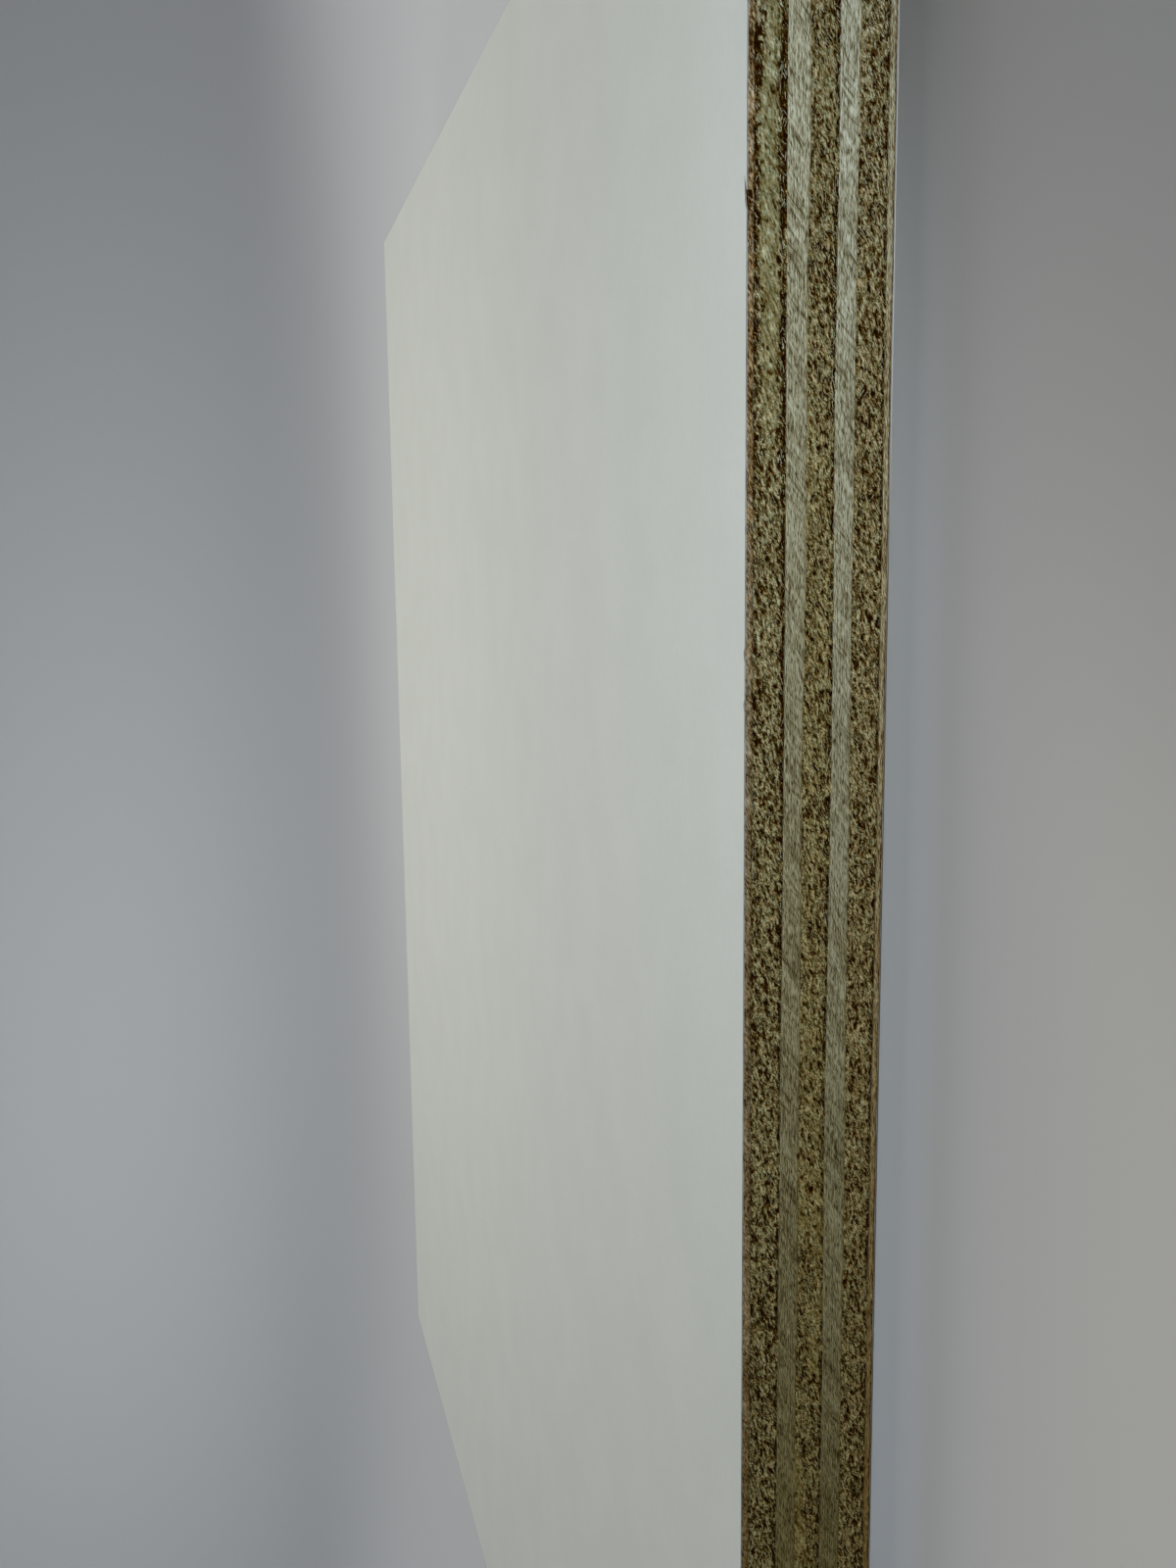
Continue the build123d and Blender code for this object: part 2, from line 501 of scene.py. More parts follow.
def stitch(rim, place, distance, loop, split_fan):
    """Triangles between a rim of many points and a loop of few: each rim point goes to the one beside it.

    Where the rim is led round the split, the fan of triangles would fold over itself, so its outline is cut
    into triangles as a polygon.
    """
    lengths = np.array([side[4] for side in SIDES])
    sides = np.searchsorted(np.cumsum(lengths)[:3] - 1e-9, distance, side="right")
    share = (distance - (np.cumsum(lengths) - lengths)[sides]) / lengths[sides]
    per_side = np.array(LID_CELLS * 2)
    first = np.cumsum(per_side) - per_side
    near = (first[sides] + np.round(share * per_side[sides]).astype(int)) % len(loop)
    after, near_after = np.roll(rim, -1), np.roll(near, -1)
    fans = np.stack([rim, after, loop[near]], -1)
    turns = near_after != near
    gaps = np.stack([after[turns], loop[near_after[turns]], loop[near[turns]]], -1)
    if not split_fan:
        return join([fans, gaps])
    split_near = near[np.argmin(np.abs(distance - SPLIT_OUTLINE[2][0] * MM))]
    at_split = np.flatnonzero((near == split_near) | np.roll((near == split_near) & (near_after != near), 1))
    corners = [Vector((*place[spot], 0)) for spot in at_split]
    numbers = np.append(rim[at_split], loop[split_near])
    inner_along = LID_INSET + split_near / LID_CELLS[0] * (2 * half_length - 2 * LID_INSET)
    polygon = corners + [Vector((inner_along - half_length, LID_INSET - half_width, 0))]
    cut = np.array(tessellate_polygon([polygon]))
    flat = np.array([corner[:2] for corner in polygon])[cut]
    first_way, second_way = flat[:, 1] - flat[:, 0], flat[:, 2] - flat[:, 0]
    wrong = first_way[:, 0] * second_way[:, 1] - first_way[:, 1] * second_way[:, 0] < 0
    cut[wrong] = cut[wrong, ::-1]
    return join([fans[near != split_near], gaps, numbers[cut]])


def new_mesh(name, points, fours, threes):
    """A mesh with four-cornered faces first and triangles after them, and the points at their corners."""
    mesh = bpy.data.meshes.new(name)
    mesh.vertices.add(len(points))
    mesh.vertices.foreach_set("co", points.astype(np.float32).ravel())
    corners = join([fours.ravel(), threes.ravel()])
    starts = join([np.arange(len(fours)) * 4, len(fours) * 4 + np.arange(len(threes)) * 3])
    mesh.loops.add(len(corners))
    mesh.loops.foreach_set("vertex_index", corners.astype(np.int32))
    mesh.polygons.add(len(starts))
    mesh.polygons.foreach_set("loop_start", starts.astype(np.int32))
    mesh.update(calc_edges=True)
    return mesh, corners


def layer_skin(name):
    """One closed layer: its rim as a grid of columns and rows, and a lid above and below that meet the rim.

    Its edge map holds the distance round the sheet and the height.
    """
    rows, place, into, distance, z, depth, hollow, calm, brownness, ends = rim_of(name)
    columns, points_up = depth.shape
    rim = join([place[:, None, :] + into[:, None, :] * depth[..., None], z[..., None]], -1)
    number = np.arange(columns * points_up).reshape(columns, points_up)
    after = np.roll(number, -1, axis=0)
    band = np.stack([number[:, :-1], after[:, :-1], after[:, 1:], number[:, 1:]], -1).reshape(-1, 4)

    index = LAYERS.index(name)
    lower, loop, quads = inner_grid(levels[index])
    upper = lower + (0, 0, levels[index + 1] - levels[index])
    below, above = columns * points_up, columns * points_up + len(lower)
    is_split = name == "face_film"
    top = stitch(number[:, -1], rim[:, -1, :2], distance, loop + above, is_split)
    bottom = stitch(number[:, 0], rim[:, 0, :2], distance, loop + below, is_split)[:, ::-1]
    points = join([rim.reshape(-1, 3), lower, upper])
    fours = join([band, quads[:, ::-1] + below, quads + above])

    fibres, fibre_faces, fibre_along, fibre_tone = loose_fibres(name, distance, rows, z, depth, calm)
    threes = join([bottom, top, fibre_faces + len(points)])
    points = join([points, fibres])
    mesh, corners = new_mesh(name + "_skin", points, fours, threes)
    face_count = len(fours) + len(threes)

    mesh.polygons.foreach_set("use_smooth", np.arange(face_count) < len(band))
    shows_ends = np.zeros(face_count, np.int32)
    shows_ends[:len(band)] = np.repeat(ends, points_up - 1)
    shows_ends[face_count - len(fibre_faces):] = name in CROSSWISE
    mesh.polygons.foreach_set("material_index", shows_ends)

    lids = np.zeros(len(lower) + len(upper))
    no_rim = np.zeros(len(fibres))
    lower_rim = np.repeat(1 - smooth_step(0, SEAM_BAND, z[:1] - z[:1, :1]), columns, 0)
    upper_seam_highlight = np.repeat(1 - smooth_step(0, SEAM_BAND, z[:1, -1:] - z[:1]), columns, 0)
    values = {
        # On the rim the hollow is painted shade by depth; on the loose fibres it is their own tone
        "hollow": (hollow, fibre_tone),
        "calm": (calm, no_rim),
        "brownness": (np.repeat(brownness, points_up), brownness_along("front", fibre_along, fibre_along)),
        "lower_rim": (lower_rim, no_rim),
        "upper_seam_highlight": (upper_seam_highlight, no_rim),
    }
    for key, (rim_values, fibre_values) in values.items():
        layer = mesh.attributes.new(key, "FLOAT", "POINT")
        joined = join([rim_values.ravel(), lids, fibre_values])
        layer.data.foreach_set("value", joined.astype(np.float32))

    edge_map = mesh.uv_layers.new(name="edge_map")
    lay = points[:, :2] + (0, LID_SHIFT)
    around_rim = np.stack([np.repeat(distance, points_up), z.ravel()], -1)
    on_fibres = np.stack([fibre_along, fibres[:, 2]], -1)
    spread = lay[corners]
    spread[:len(band) * 4] = around_rim[band.ravel()]
    spread[len(corners) - 3 * len(fibre_faces):] = on_fibres[fibre_faces.ravel()]
    # The rim's last cells end at the way all round, and not at 0, where they meet the first ones
    last = slice((columns - 1) * (points_up - 1) * 4, len(band) * 4)
    spread[last, 0] += np.where(spread[last, 0] < around / 2, around, 0)
    edge_map.data.foreach_set("uv", spread.astype(np.float32).ravel())
    mesh.validate()
    skin = bpy.data.objects.new(name + ("_skin" if name in FILMS else "_wood"), mesh)
    scene.collection.objects.link(skin)
    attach(skin, "root")
    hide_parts(name)
    return skin


class Look:
    """A material that is put together one node at a time. Its sizes are in millimetres."""

    def __init__(self, name):
        self.material = bpy.data.materials.new(name)
        self.material.use_nodes = True
        self.tree = self.material.node_tree
        self.surface = self.tree.nodes["Principled BSDF"]

    def node(self, kind, inputs, out=0, **settings):
        """Adds a node and returns one of its outputs. An input is a number, a colour or a node's output."""
        made = self.tree.nodes.new("ShaderNode" + kind)
        for key, value in settings.items():
            setattr(made, key, value)
        for key, value in inputs.items():
            self.put(value, made.inputs[key])
        return made.outputs[out]

    def put(self, value, socket):
        """Gives an input its value, or links it to another node's output."""
        if isinstance(value, bpy.types.NodeSocket):
            self.tree.links.new(value, socket)
        else:
            socket.default_value = value

    def math(self, operation, first, second=0.0, third=0.0):
        return self.node("Math", {0: first, 1: second, 2: third}, operation=operation)

    def times(self, first, second):
        return self.math("MULTIPLY", first, second)

    def sum_of(self, *terms):
        """Adds up pairs of an output and its weight."""
        total = 0.0
        for value, weight in terms:
            total = self.math("MULTIPLY_ADD", value, weight, total)
        return total

    def band(self, value, low, high):
        """0 below low and 1 above high, with an S-curve between them."""
        return self.node("MapRange", {"Value": value, "From Min": low, "From Max": high},
                         interpolation_type="SMOOTHSTEP")

    def blend(self, share, first, second, kind="MIX"):
        """Goes from the first colour to the second as the share rises. Each is a tone or a node's output."""
        first, second = [(*one, 1) if isinstance(one, tuple) else one for one in (first, second)]
        return self.node("Mix", {0: share, 6: first, 7: second}, out=2, data_type="RGBA", blend_type=kind)

    def ramp(self, value, tones):
        """A colour that goes through tones, spaced evenly from value 0 to value 1."""
        made = self.tree.nodes.new("ShaderNodeValToRGB")
        bar = made.color_ramp
        while len(bar.elements) < len(tones):
            bar.elements.new(0.5)
        for step, (element, colour) in enumerate(zip(bar.elements, tones)):
            element.position = step / (len(tones) - 1)
            element.color = (*colour, 1)
        self.put(value, made.inputs[0])
        return made.outputs[0]

    def tinted(self, colour, share, first, second):
        """The colour times a tint that goes from first to second as the share rises."""
        return self.blend(1.0, colour, self.blend(share, first, second), "MULTIPLY")

    def value(self, name):
        """One of the values that the layers' points carry."""
        return self.node("Attribute", {}, out=2, attribute_name=name)

    def axis(self, place, letter):
        return self.node("SeparateXYZ", {0: place}, out=letter)

    def edge_place(self):
        return self.node("UVMap", {}, uv_map="edge_map")

    def turned(self, place, tilt, size, offset=0.0):
        """Counts a place in cells of a size, length by width, after a turn."""
        length, width = size
        return self.node("Mapping", {"Vector": place, "Location": (offset, offset * 0.37, 0),
                                     "Rotation": (0, 0, tilt), "Scale": (length * MM, width * MM, 1)},
                         vector_type="TEXTURE")

    def noise(self, place, tilt, size, detail=2.0, rough=0.6, offset=0.0):
        """Cloudy noise whose blots are a size, length by width, and lie at a tilt."""
        cells = self.turned(place, tilt, size, offset)
        return self.node("TexNoise", {"Vector": cells, "Scale": 1.0, "Detail": detail, "Roughness": rough},
                         noise_dimensions="2D")

    def near_right_end(self, place, stretch):
        """1 at the front edge's right end and 0 past a stretch that is measured from there."""
        return self.band(self.axis(place, "X"), 2 * half_length - stretch[0], 2 * half_length - stretch[1])

    def bent(self, place, size, reach):
        """The place, moved to and fro by up to half a reach in blots of a size."""
        warp = self.node("TexNoise", {"Vector": self.turned(place, 0, (size, size), 0.7), "Scale": 1.0,
                                      "Detail": 1.0}, out=1, noise_dimensions="2D")
        shift = self.node("VectorMath", {0: warp, 1: (0.5, 0.5, 0.5)}, operation="SUBTRACT")
        reach = (reach * MM, reach * MM, 0)
        return self.node("VectorMath", {0: shift, 1: reach, 2: place}, operation="MULTIPLY_ADD")

    def finish(self, colour, roughness, height=None, rise=0.0):
        """Sets the colour and the roughness, and bumps of a height that rises so far."""
        self.put(colour, self.surface.inputs["Base Color"])
        self.put(roughness, self.surface.inputs["Roughness"])
        if height is not None:
            bump = self.node("Bump", {"Strength": 1.0, "Distance": rise * MM, "Height": height})
            self.put(bump, self.surface.inputs["Normal"])
        return self.material


# Tones of the wood from dark to pale, as linear red, green and blue
END_TONES = ((0.018, 0.004, 0.0), (0.058, 0.024, 0.001), (0.128, 0.092, 0.033), (0.262, 0.218, 0.128),
             (0.54, 0.485, 0.365))
SAWN_TONES = ((0.070, 0.048, 0.017), (0.155, 0.124, 0.060), (0.28, 0.244, 0.145), (0.385, 0.350, 0.226),
              (0.51, 0.48, 0.345))
FACE_VENEER_TONES = ((0.022, 0.008, 0.0), (0.110, 0.065, 0.022), (0.25, 0.198, 0.108), (0.36, 0.30, 0.20),
                     (0.52, 0.46, 0.35))
BACK_VENEER_TONES = ((0.057, 0.026, 0.006), (0.18, 0.130, 0.055), (0.30, 0.258, 0.155), (0.41, 0.372, 0.25),
                     (0.55, 0.515, 0.38))
# Tints: the tones are multiplied by them
UNTINTED = (1.0, 1.0, 1.0)
# The torn fibre ends' larger blots go from olive to tan and their smaller ones from mossy to ruddy
OLIVE = (0.92, 1.0, 0.97)
TAN = (1.04, 0.96, 0.80)
MOSSY = (0.97, 1.035, 0.97)
RUDDY = (1.03, 0.97, 0.95)
# Their calm parts within the front edge's painted sheen
SHEEN_GREY = (0.93, 0.985, 0.99)
# The upper veneer's blots go from cool to rusty, and the lower veneer is rusty beside the film
COOL = (0.99, 1.0, 1.06)
RUST = (1.11, 0.88, 0.62)
# The long plies along their lower seam
HONEY = (1.05, 0.90, 0.55)
# Whole plies: the core, the lower crossband and the lower long ply
CORE_TINT = (0.91, 0.875, 0.79)
LOWER_CROSSBAND_TINT = (0.97, 0.925, 0.88)
LOWER_LONG_TINT = (1.06, 1.08, 1.13)
# What the front edge is browned by past its painted sheen, and the other sides in part
BROWN_ENDS = (0.94, 0.84, 0.55)
BROWN_SAWN = (0.345, 0.26, 0.065)
BROWN_FACE_VENEER = (0.53, 0.415, 0.175)
BROWN_BACK_VENEER = (0.54, 0.33, 0.05)


def fibre_end_wood(look, place):
    """Torn fibre ends: strands of short fibres laid over by the saw, with small dark pits between them."""
    flow = look.bent(place, 2.1, 0.60)
    calm = look.value("calm")
    strands = look.noise(flow, FIBRE_TILT, (0.95, 0.13))
    shreds = look.noise(flow, FIBRE_TILT + 0.55, (0.50, 0.12), 1.0, 0.5, offset=0.2)
    crumbs = look.noise(place, FIBRE_TILT - 0.6, (0.22, 0.11), 1.0, 0.5, offset=0.4)
    clumps = look.noise(flow, FIBRE_TILT, (0.80, 0.28), 1.0, 0.5, offset=0.6)
    broad = look.noise(flow, FIBRE_TILT * 0.7, (5.0, 0.8), 1.0, 0.5, offset=0.15)
    pits = look.band(clumps, 0.44, 0.30)
    crumbly = look.math("MULTIPLY_ADD", look.value("brownness"), 0.9, 0.65)
    crumbs = look.times(look.math("SUBTRACT", crumbs, 0.5), crumbly)
    fine = look.sum_of((strands, 1.5), (shreds, 1.05), (crumbs, 1.0), (clumps, 0.62), (pits, -0.38))
    contrast = look.math("MULTIPLY_ADD", calm, -0.58, 1.0)
    level = look.times(look.math("SUBTRACT", fine, 1.53), contrast)
    smeared = look.noise(flow, FIBRE_TILT + 0.1, (2.2, 0.55), 2.0, 0.5, offset=0.45)
    smeared = look.times(look.math("SUBTRACT", smeared, 0.5), calm)
    # The hollow darkens the pits and grooves as painted shade; on the loose fibres it is their own tone
    level = look.sum_of((level, 1.0), (look.value("hollow"), -0.72), (broad, 0.35), (calm, 0.03),
                        (smeared, 0.6))
    colour = look.ramp(look.math("ADD", level, 0.45), END_TONES)
    hues = look.noise(flow, FIBRE_TILT * 0.6, (1.2, 0.40), 3.0, offset=0.33)
    colour = look.tinted(colour, look.band(hues, 0.36, 0.64), OLIVE, TAN)
    moss = look.noise(flow, FIBRE_TILT, (0.9, 0.30), 3.0, offset=0.77)
    colour = look.tinted(colour, look.band(moss, 0.38, 0.62), MOSSY, RUDDY)
    # Calm wood within the painted sheen is greyed, as part of that painted sheen
    sheen = look.math("SUBTRACT", 1.0, look.value("brownness"))
    return look.tinted(colour, look.times(calm, sheen), UNTINTED, SHEEN_GREY), level


def sawn_length_wood(look, place):
    """Wood sawn along its fibres: short fine lines along it, crossed by the saw's slanting bands and cuts."""
    bent = look.bent(place, 2.2, 0.24)
    swung = look.bent(place, 9, 2)
    dashes = look.noise(bent, 0.09, (0.85, 0.080))
    strands = look.noise(bent, 0.0, (2.6, 0.14), offset=0.3)
    broad = look.noise(place, 0.01, (14, 0.45), 2.0, 0.5, offset=0.02)
    bands = look.noise(swung, SAW_TILT * 0.8, (6, 0.55), offset=0.21)
    cuts = look.band(look.noise(swung, SAW_TILT, (5, 0.30), 1.0, 0.5, offset=0.11), 0.65, 0.73)
    cuts = look.times(cuts, look.math("MULTIPLY_ADD", look.value("brownness"), -0.8, 1.0))
    lines = look.band(dashes, 0.44, 0.34)
    run = look.noise(place, 0.0, (2.2, 9), offset=0.61)
    lower_rim = look.times(look.value("lower_rim"), look.band(run, 0.25, 0.6))
    # Along the upper seam the sawn wood is lightened: a painted highlight on its arris
    upper_seam_highlight = look.times(look.value("upper_seam_highlight"), look.band(run, 0.7, 0.4))
    # The hollow darkens the deeper parts as painted shade
    level = look.sum_of((dashes, 1.6), (strands, 1.7), (broad, 0.35), (bands, 0.95), (lines, -0.42),
                        (cuts, -0.50), (look.value("hollow"), -0.25), (upper_seam_highlight, 0.22),
                        (lower_rim, -0.05))
    colour = look.ramp(look.math("ADD", level, -1.56), SAWN_TONES)
    return look.tinted(colour, lower_rim, UNTINTED, HONEY), level


def face_veneer_wood(look, place):
    """The upper veneer's edge: tan with rusty blots, slanting hairs, and pits along its inner side."""
    bent = look.bent(place, 1.2, 0.4)
    hairs = look.noise(bent, 0.50, (0.60, 0.11), 1.0)
    strands = look.noise(bent, 0.25, (1.1, 0.12), 1.0, offset=0.3)
    blots = look.noise(bent, 0.45, (0.9, 0.30), offset=0.1)
    run = look.noise(place, 0.0, (2.2, 9), offset=0.5)
    inner = look.math("SUBTRACT", upper_film_bottom - 0.70 * MM, look.axis(place, "Y"))
    pitted = look.band(look.sum_of((inner, 1 / MM), (run, 1.6), (blots, 0.9)), 0.95, 1.75)
    right_end = look.near_right_end(place, VENEER_DARKENS)
    # The hollow darkens the deeper parts, most of all the hollow under the split, as painted shade; on loose
    # fibres it is their own tone
    level = look.sum_of((hairs, 1.5), (strands, 1.1), (blots, 1.2), (look.value("hollow"), -0.4),
                        (pitted, -0.24), (right_end, -0.15))
    colour = look.ramp(look.math("ADD", level, -1.19), FACE_VENEER_TONES)
    rusty = look.sum_of((look.noise(bent, 0.2, (1.5, 0.30), 3.0, offset=0.7), 1.0),
                        (right_end, 0.10))
    return look.tinted(colour, look.band(rusty, 0.46, 0.70), COOL, RUST), level


def back_veneer_wood(look, place):
    """The lower veneer sawn along its fibres: smooth and pale, browner beside the film."""
    bent = look.bent(place, 1.6, 0.3)
    hairs = look.noise(bent, FIBRE_TILT * 0.6, (0.8, 0.10), 1.0)
    strands = look.noise(bent, 0.02, (1.6, 0.12), 1.0, offset=0.3)
    blots = look.noise(bent, 0.1, (2.6, 0.5), offset=0.1)
    outer = look.band(look.axis(place, "Y"), lower_film_top + 0.24 * MM, lower_film_top + 0.08 * MM)
    inner = look.band(look.sum_of((look.axis(place, "Y"), 1 / MM), (blots, 0.5)), 1.04, 1.24)
    # The hollow darkens the deeper parts as painted shade; on loose fibres it is their own tone
    level = look.sum_of((hairs, 1.6), (strands, 1.3), (blots, 0.5), (look.value("hollow"), -0.25),
                        (outer, -0.36), (inner, -0.22))
    colour = look.ramp(look.math("ADD", level, -1.10), BACK_VENEER_TONES)
    return look.tinted(colour, look.times(outer, 0.5), UNTINTED, RUST), level


def wood_finish(name, wood, brown_tint, depth, tint=UNTINTED):
    """Bare wood of one kind with a tint of its own, browned except where the front edge's right end is kept
    paler as a painted sheen, and how deep its bumps are.
    """
    look = Look(name)
    colour, level = wood(look, look.edge_place())
    colour = look.tinted(colour, 1.0, tint, tint)
    browned = look.blend(look.value("brownness"), colour, brown_tint, "MULTIPLY")
    look.surface.inputs["Specular IOR Level"].default_value = 0.02
    return look.finish(browned, 0.85, level, depth)


# The films' faces are cloudy between these two
FILM_WHITE = (0.67, 0.68, 0.615)
FILM_SHADE = (0.63, 0.642, 0.575)
# Their cut edges: the upper one is dark along its top, and the lower one is dark brown except along its lower
# corner near the right end, which is pale as a painted highlight
FILM_DARK_TOP = (0.12, 0.11, 0.11)
FILM_CORE = (0.42, 0.385, 0.32)
FILM_DARK_EDGE = (0.095, 0.073, 0.048)
FILM_EDGE_HIGHLIGHT = (0.58, 0.57, 0.53)


def film_finish(name, upper):
    """White film with a faint cloudiness. Its cut edge has tones of its own, and a painted highlight on the
    lower film: see the colours' names.
    """
    look = Look(name)
    place = look.node("TexCoord", {}, out=3)
    clouds = look.node("TexNoise", {"Vector": place, "Scale": 60.0, "Detail": 3.0})
    specks = look.node("TexNoise", {"Vector": place, "Scale": 900.0, "Detail": 2.0})
    share = look.sum_of((clouds, 0.7), (specks, 0.5))
    white = look.blend(look.band(share, 0.35, 0.9), FILM_SHADE, FILM_WHITE)
    cut = look.edge_place()
    height = look.axis(cut, "Y")
    run = look.noise(cut, 0.0, (3.5, 9), 3.0)
    if upper:
        inside = look.band(height, sheet_top - 0.05 * MM, sheet_top - 0.09 * MM)
        inside = look.times(inside, look.band(run, 0.30, 0.62))
        edge = look.blend(inside, FILM_DARK_TOP, FILM_CORE)
    else:
        # Near the right end the lower film's outer corner is pale: a painted highlight
        right_end = look.near_right_end(cut, FILM_HIGHLIGHT_STRETCH)
        corner_highlight = look.times(right_end, look.band(height, 0.10 * MM, 0.06 * MM))
        edge = look.blend(corner_highlight, FILM_DARK_EDGE, FILM_EDGE_HIGHLIGHT)
    on_rim = look.math("LESS_THAN", height, RIM_TOP)
    colour = look.blend(on_rim, white, edge)
    roughness = look.math("MULTIPLY_ADD", specks, 0.12, 0.36)
    return look.finish(colour, roughness, specks, 0.006)


# The floor is pale, and graded near the front edge: painted shade darkens it to the right of a slanting line
FLOOR_PALE = (0.50, 0.505, 0.505)
FLOOR_SHADED = (0.32, 0.322, 0.318)
SHADE_PLACE = (0.127, -0.18)
SHADE_SLANT = 0.85
SHADE_REACH = (-0.055, 0.045)
# Painted light makes it brighter and bluer close to the front edge, where the sheet shades it, and it is
# warmer further out in front of it
FLOOR_BRIGHT = (0.80, 0.86, 0.94)
BRIGHT_REACH = 0.018
FLOOR_WARM = (0.51, 0.50, 0.47)
WARM_REACH = (-0.055, -0.012)
# The grading ends at a distance from this place, and the floor is plain further away
GRADED_PLACE = (0.055, -0.195)
GRADED_REACH = (0.09, 0.24)
FLOOR_PLAIN = (0.56, 0.565, 0.565)

# The stage: how far out its flat floor goes, how wide the bend is, and how high the wall above it
FLAT = 0.6
BEND = 2.0
WALL = 1.5


def floor_finish():
    """The floor: pale, with painted shade and painted light near the front edge; see the tones' names."""
    look = Look("pale_floor")
    place = look.node("TexCoord", {}, out=3)
    beside = look.sum_of((look.axis(place, "X"), 1.0), (look.axis(place, "Y"), -SHADE_SLANT))
    line = SHADE_PLACE[0] - SHADE_SLANT * SHADE_PLACE[1]
    # Painted shade to the right of the slanting line
    shaded = look.band(beside, line + SHADE_REACH[0], line + SHADE_REACH[1])
    from_edge = look.math("ADD", look.axis(place, "Y"), half_width)
    warm = look.band(from_edge, *WARM_REACH)
    pale = look.blend(warm, FLOOR_WARM, FLOOR_PALE)
    # A painted light strip along the front edge, against the sheet's shadow
    bright = look.band(from_edge, -BRIGHT_REACH, 0.0)
    bright = look.times(bright, look.band(from_edge, half_width, 0.0))
    pale = look.blend(bright, pale, FLOOR_BRIGHT)
    graded = look.blend(shaded, pale, FLOOR_SHADED)
    centre = look.node("VectorMath", {0: place, 1: (*GRADED_PLACE, 0)}, operation="SUBTRACT")
    distance = look.node("VectorMath", {0: centre}, out=1, operation="LENGTH")
    near = look.band(distance, GRADED_REACH[1], GRADED_REACH[0])
    look.surface.inputs["Specular IOR Level"].default_value = 0.2
    return look.finish(look.blend(near, FLOOR_PLAIN, graded), 0.9)


def stage():
    """A floor that curves up into a wall, all the way round."""
    turn = np.linspace(0, math.pi / 2, 40)
    radius = join([[1e-4, 0.2, 0.4, 0.5], FLAT + BEND * np.sin(turn), [FLAT + BEND]])
    height = join([[0.0, 0.0, 0.0, 0.0], BEND - BEND * np.cos(turn), [BEND + WALL]])
    angle = np.linspace(0, 2 * math.pi, 97)[:-1]
    points = np.stack([np.outer(radius, np.cos(angle)), np.outer(radius, np.sin(angle)),
                       np.repeat(height[:, None], len(angle), 1)], -1).reshape(-1, 3)
    number = np.arange(len(points)).reshape(len(radius), len(angle))
    after = np.roll(number, -1, axis=1)
    quads = np.stack([number[:-1], number[1:], after[1:], after[:-1]], -1).reshape(-1, 4)
    mesh = bpy.data.meshes.new("floor")
    mesh.from_pydata(points.tolist(), [], quads.tolist() + [number[0].tolist()])
    mesh.polygons.foreach_set("use_smooth", np.ones(len(mesh.polygons), bool))
    floor = bpy.data.objects.new("floor", mesh)
    scene.collection.objects.link(floor)
    mesh.materials.append(floor_finish())
    return floor


def soft_lamp(name, place, target, size, power, colour, spread):
    """A soft lamp that points at a target and that the camera doesn't see."""
    data = bpy.data.lights.new(name, "AREA")
    data.shape = "RECTANGLE"
    data.size, data.size_y = size
    data.energy = power
    data.color = colour
    data.spread = math.radians(spread)
    lamp = bpy.data.objects.new(name, data)
    scene.collection.objects.link(lamp)
    lamp.location = place
    lamp.rotation_euler = (Vector(target) - Vector(place)).to_track_quat("-Z", "Y").to_euler()
    lamp.visible_camera = False
    return lamp


def camera():
    """The camera at the photograph's place, turned so that the sheet's long edge stands upright."""
    data = bpy.data.cameras.new("camera")
    data.lens = 32.99
    data.sensor_width = 36
    data.clip_start, data.clip_end = 0.005, 20
    view = bpy.data.objects.new("camera", data)
    view.location = (0.08380, -0.32572, 0.07694)
    view.rotation_euler = [math.radians(angle) for angle in (-11.3994, 75.5976, -92.7908)]
    scene.collection.objects.link(view)
    scene.camera = view


camera()
floor = stage()

scene.view_settings.view_transform = "Standard"
scene.world = bpy.data.worlds.new("room")
scene.world.use_nodes = True
scene.world.node_tree.nodes["Background"].inputs["Color"].default_value = (0.80, 0.88, 1.0, 1)
scene.world.node_tree.nodes["Background"].inputs["Strength"].default_value = 0.08

sheet_pieces = bpy.data.collections.new("sheet_pieces")
stage_pieces = bpy.data.collections.new("stage_pieces")
stage_pieces.objects.link(floor)
WARM_WHITE = (1.0, 0.985, 0.965)
COOL_WHITE = (0.95, 0.98, 1.0)
WALL_WHITE = (0.96, 0.98, 1.0)

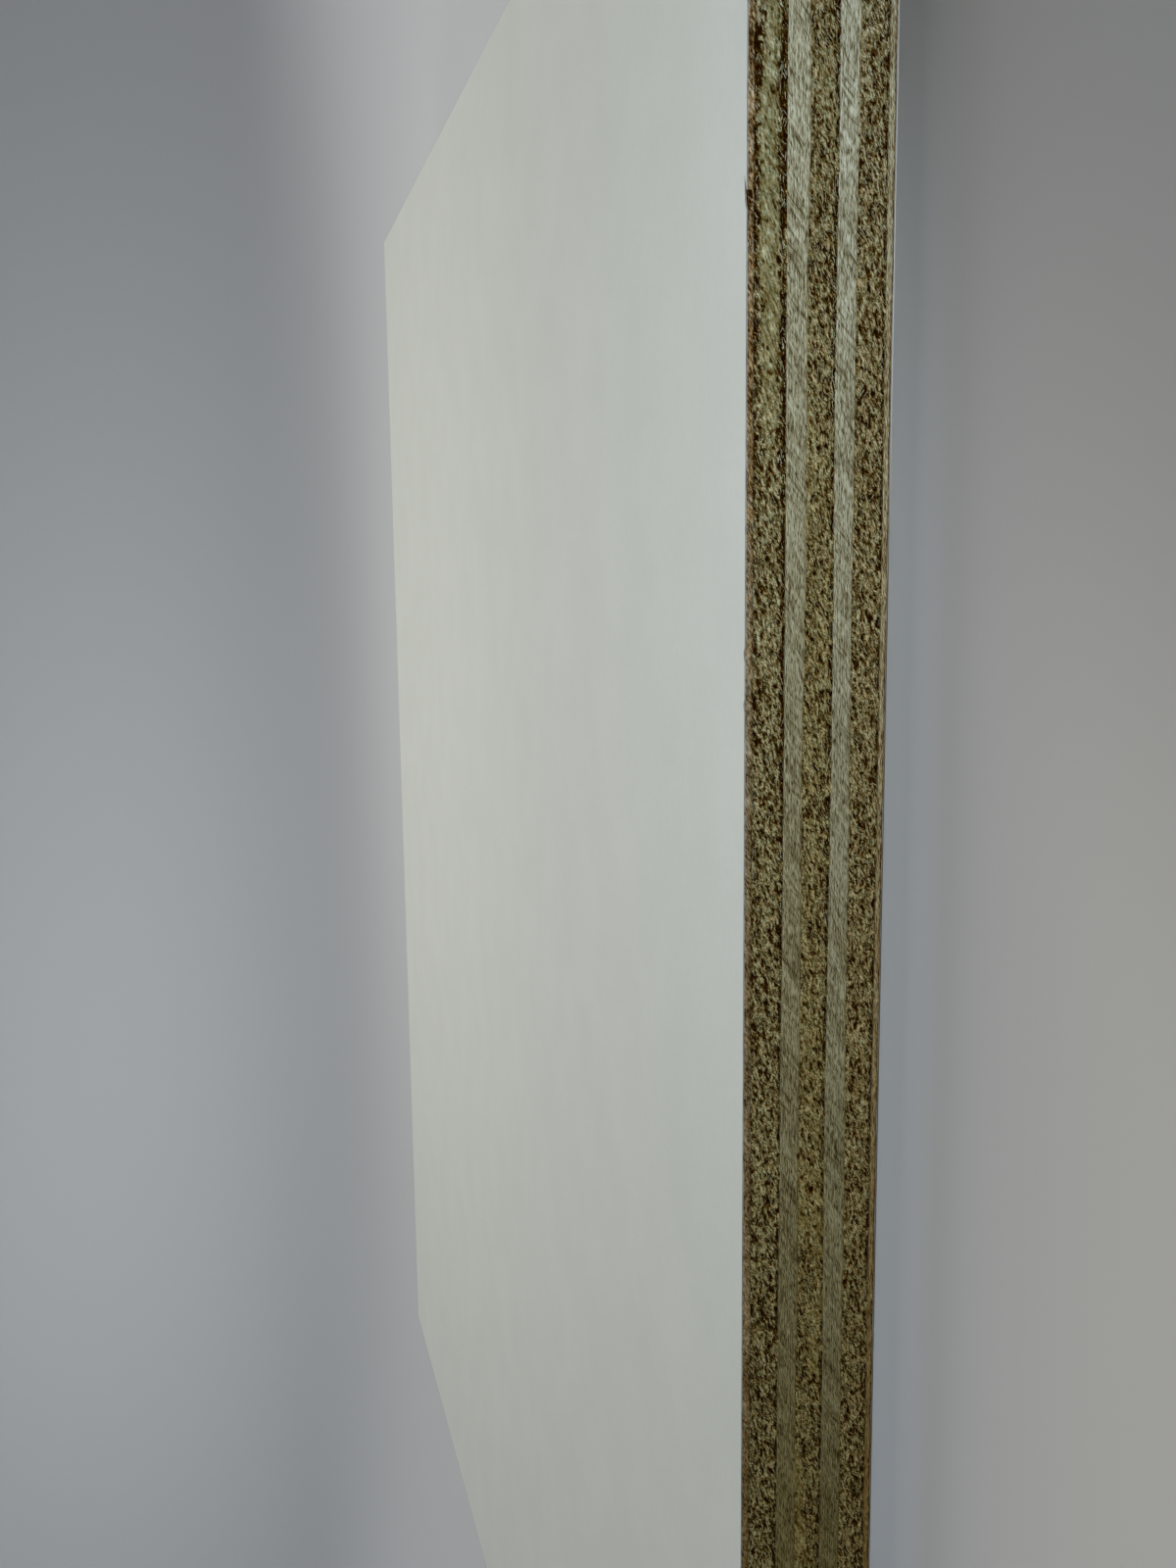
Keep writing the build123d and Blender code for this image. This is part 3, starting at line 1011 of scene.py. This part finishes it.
# Each lamp: name, place, target, size, power in watts, colour, spread in degrees, and what it lights alone.
# The edge lamp is close to the sheet and would leave a bright patch on the floor. The wall lamps serve
# the views from the other sides.
LAMPS = (
    ("overhead", (0.09, 0.07, 0.33), (0.09, 0.07, 0), (0.28, 0.28), 0.575, WARM_WHITE, 180, None),
    ("far_fill", (-0.03, 0.33, 0.36), (-0.03, 0.33, 0), (0.40, 0.20), 0.185, (1.0, 0.965, 0.90), 180, None),
    ("room", (0.5, -0.5, 2.4), (0.5, -0.5, 0), (2.0, 2.0), 2.5, WARM_WHITE, 140, None),
    ("right_soft", (0.98, 0.46, 0.30), (0, 0, 0), (0.7, 0.3), 1.2, COOL_WHITE, 90, None),
    ("left_soft", (-1.06, 0.25, 0.30), (0, 0, 0), (0.7, 0.3), 1.0, COOL_WHITE, 90, None),
    ("edge_key", (0.165, -0.365, 0.08), (0.07, -0.17, 0.035), (0.12, 0.12), 0.267,
     (0.76, 0.88, 1.0), 120, sheet_pieces),
    ("front_floor", (0, -0.30, 0.23), (0, -0.30, 0), (0.22, 0.22), 0.172, COOL_WHITE, 180, stage_pieces),
    ("wall_right", (0.204, -0.168, 1.1), (1.7, -1.4, 0.7), (0.6, 0.6), 5.0, WALL_WHITE, 130, stage_pieces),
    ("wall_left", (-0.24, -0.096, 1.1), (-2.0, -0.8, 0.7), (0.6, 0.6), 5.0, WALL_WHITE, 130, stage_pieces),
    ("backdrop", (-0.38, 0.80, 1.20), (-0.28, 1.7, 0.6), (0.8, 0.4), 8.6, (0.93, 0.97, 1.0), 180, None),
)
for name, place, target, size, power, colour, spread, lit in LAMPS:
    lamp = soft_lamp(name, place, target, size, power, colour, spread)
    if lit is not None:
        lamp.light_linking.receiver_collection = lit
    # The edge lamp would show in the film's gloss
    lamp.visible_glossy = name != "edge_key"

# A ply has two materials: the first where it is sawn along its fibres, the second where their ends show
end_grain = wood_finish("end_grain", fibre_end_wood, BROWN_ENDS, 0.10)
OWN_ENDS = {
    "core_ply": wood_finish("olive_end_grain", fibre_end_wood, BROWN_ENDS, 0.10, CORE_TINT),
    "lower_crossband": wood_finish("ruddy_end_grain", fibre_end_wood, BROWN_ENDS, 0.10, LOWER_CROSSBAND_TINT),
}
sawn_grain = wood_finish("sawn_grain", sawn_length_wood, BROWN_SAWN, 0.03)
OWN_LOOK = {
    "lower_long_ply": wood_finish("paler_sawn_grain", sawn_length_wood, BROWN_SAWN, 0.03, LOWER_LONG_TINT),
    "face_veneer": wood_finish("face_veneer_edge", face_veneer_wood, BROWN_FACE_VENEER, 0.05),
    "back_veneer": wood_finish("back_veneer_edge", back_veneer_wood, BROWN_BACK_VENEER, 0.04),
    "face_film": film_finish("upper_white_film", True),
    "back_film": film_finish("lower_white_film", False),
}
for name in LAYERS:
    skin = layer_skin(name)
    skin.data.materials.append(OWN_LOOK.get(name, sawn_grain))
    if name not in FILMS:
        skin.data.materials.append(OWN_ENDS.get(name, end_grain))
    sheet_pieces.objects.link(skin)
